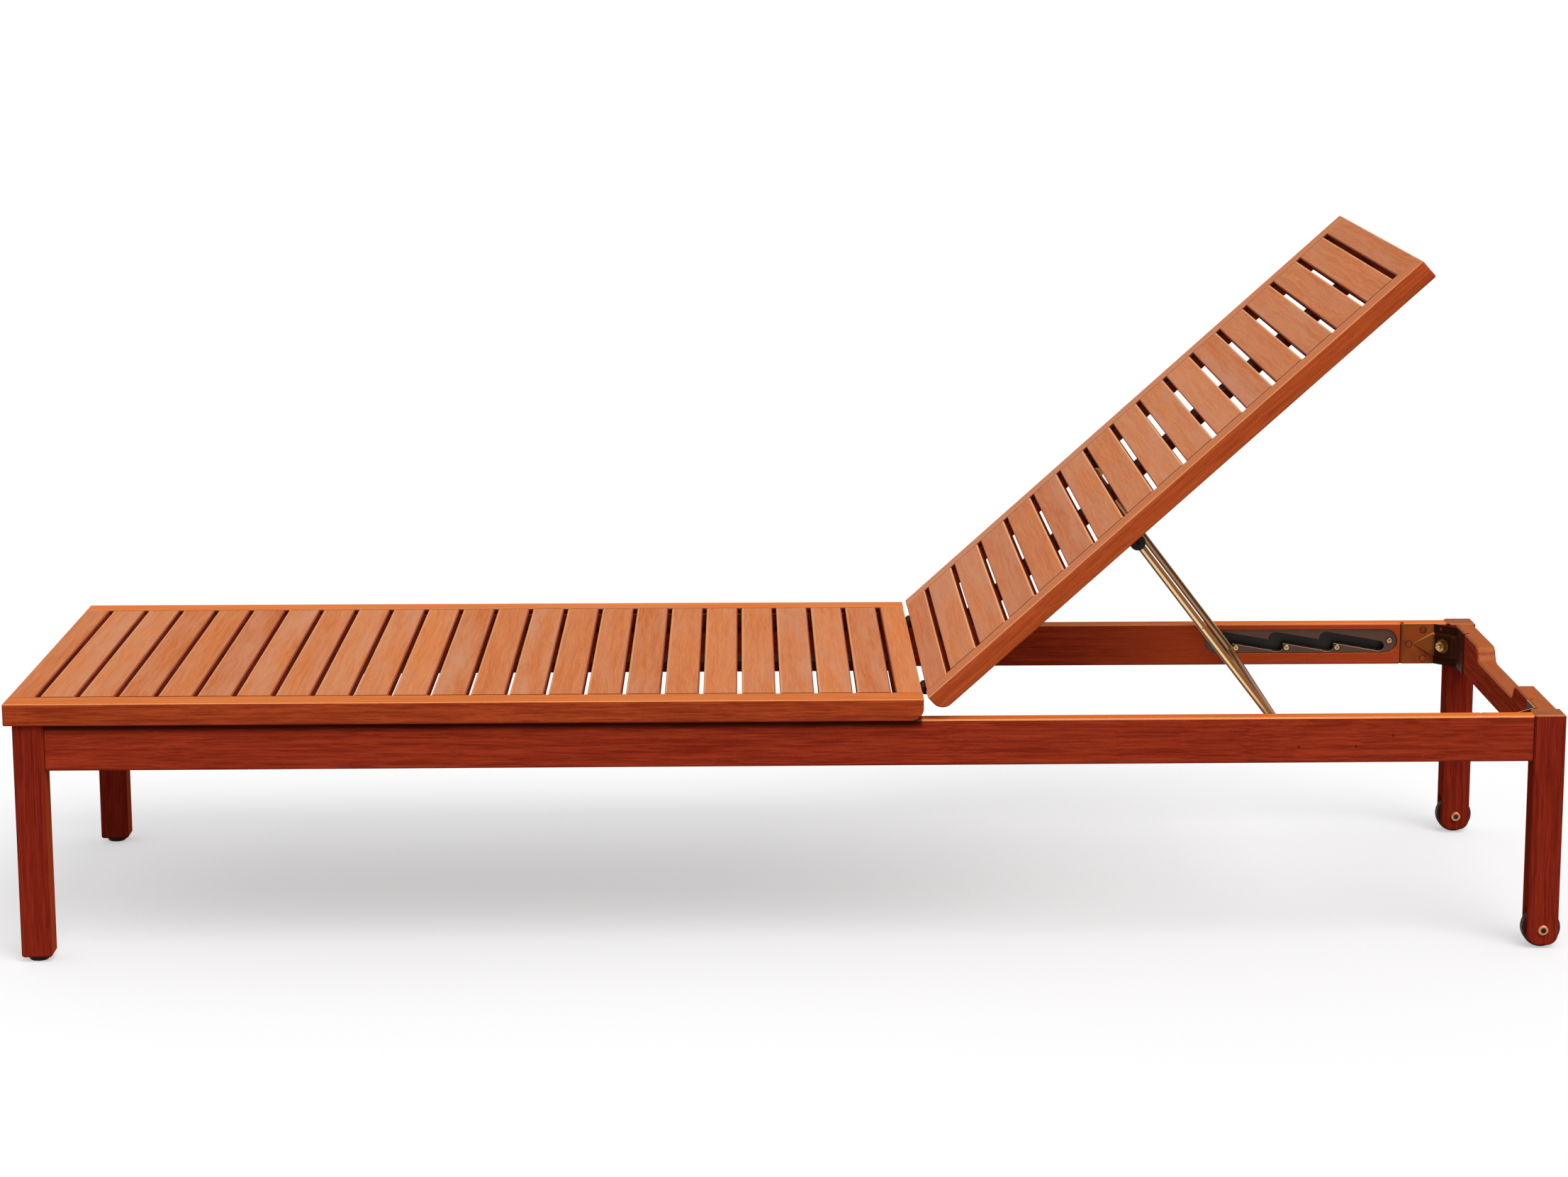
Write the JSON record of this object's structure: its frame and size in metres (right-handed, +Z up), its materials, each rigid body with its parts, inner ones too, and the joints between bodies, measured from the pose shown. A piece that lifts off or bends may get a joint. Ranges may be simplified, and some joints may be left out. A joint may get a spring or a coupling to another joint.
{
  "type": "sun lounger",
  "caption": "Slatted wooden sun lounger with a reclining back held by a brass-plated prop in sunken rack plates, and small wheels in the legs at the head end.",
  "frame": {"origin": "on the floor, below the middle of the lounger's length and width", "axes": "+X from the foot end to the head end, +Y to the right of a person lying on it, +Z up"},
  "size_m": [1.976, 0.65, 0.8877],
  "materials": {
    "deck_wood": "oiled, satin",
    "base_wood": "oiled, satin",
    "plated_brass": "polished plating",
    "bronze_sheet": "satin bronze",
    "rack_metal": "satin",
    "black_metal": "satin",
    "black_plastic": "matte",
    "bush_plastic": "matte"
  },
  "bodies": {
    "base": {"foot_leg_left": "base_wood", "foot_leg_right": "base_wood", "head_leg_left": "base_wood", "head_leg_right": "base_wood", "side_rail_left": "base_wood", "side_rail_right": "base_wood", "foot_rail": "base_wood", "head_rail": "base_wood", "deck_dowels": "base_wood", "seat_rail_left": "deck_wood", "seat_rail_right": "deck_wood", "seat_foot_bar": "deck_wood", "seat_hinge_bar": "deck_wood", "seat_slats": "deck_wood", "seat_batten": "deck_wood", "corner_bracket_foot_left": "bronze_sheet", "corner_bracket_foot_right": "bronze_sheet", "corner_bracket_head_left": "bronze_sheet", "corner_bracket_head_right": "bronze_sheet", "hanger_bolts": "plated_brass", "hanger_washers": "plated_brass", "hanger_nuts": "plated_brass", "wheel_bolt_left": "plated_brass", "wheel_bolt_right": "plated_brass", "wheel_cap_nut_left": "plated_brass", "wheel_cap_nut_right": "plated_brass", "hinge_seat_leaf_left": "black_metal", "hinge_seat_leaf_right": "black_metal", "hinge_pins": "black_metal", "rack_plate_left": "rack_metal", "rack_plate_right": "rack_metal", "foot_glide_left": "black_plastic", "foot_glide_right": "black_plastic"},
    "back": {"back_rail_left": "deck_wood", "back_rail_right": "deck_wood", "back_lower_bar": "deck_wood", "back_head_bar": "deck_wood", "back_slats": "deck_wood", "back_batten": "deck_wood", "prop_pivot_left": "plated_brass", "prop_pivot_right": "plated_brass", "prop_plate_left": "black_metal", "prop_plate_right": "black_metal", "hinge_back_leaf_left": "black_metal", "hinge_back_leaf_right": "black_metal"},
    "prop": {"prop_arm_left": "plated_brass", "prop_arm_right": "plated_brass", "prop_bar": "plated_brass"},
    "left_wheel": {"wheel_left": "black_plastic", "wheel_bush_left": "bush_plastic"},
    "right_wheel": {"wheel_right": "black_plastic", "wheel_bush_right": "bush_plastic"}
  },
  "joints": [
    {"name": "back_hinge", "type": "hinge", "parent": "base", "child": "back", "pos_m": [0.1678, 0, 0.328], "axis": [0, 1, 0], "range_deg": [0, 42]},
    {"name": "prop_hinge", "type": "hinge", "parent": "back", "child": "prop", "pos_m": [0.43368, 0, 0.52798], "axis": [0, 1, 0], "range_deg": [-92, 0]},
    {"name": "left_wheel_spin", "type": "hinge", "parent": "base", "child": "left_wheel", "pos_m": [0.963, -0.2995, 0.025], "axis": [0, 1, 0], "continuous": true},
    {"name": "right_wheel_spin", "type": "hinge", "parent": "base", "child": "right_wheel", "pos_m": [0.963, 0.2995, 0.025], "axis": [0, 1, 0], "continuous": true}
  ],
  "couplings": [
    {"joint": "prop_hinge", "follows": "back_hinge", "ratio": -2.187}
  ]
}
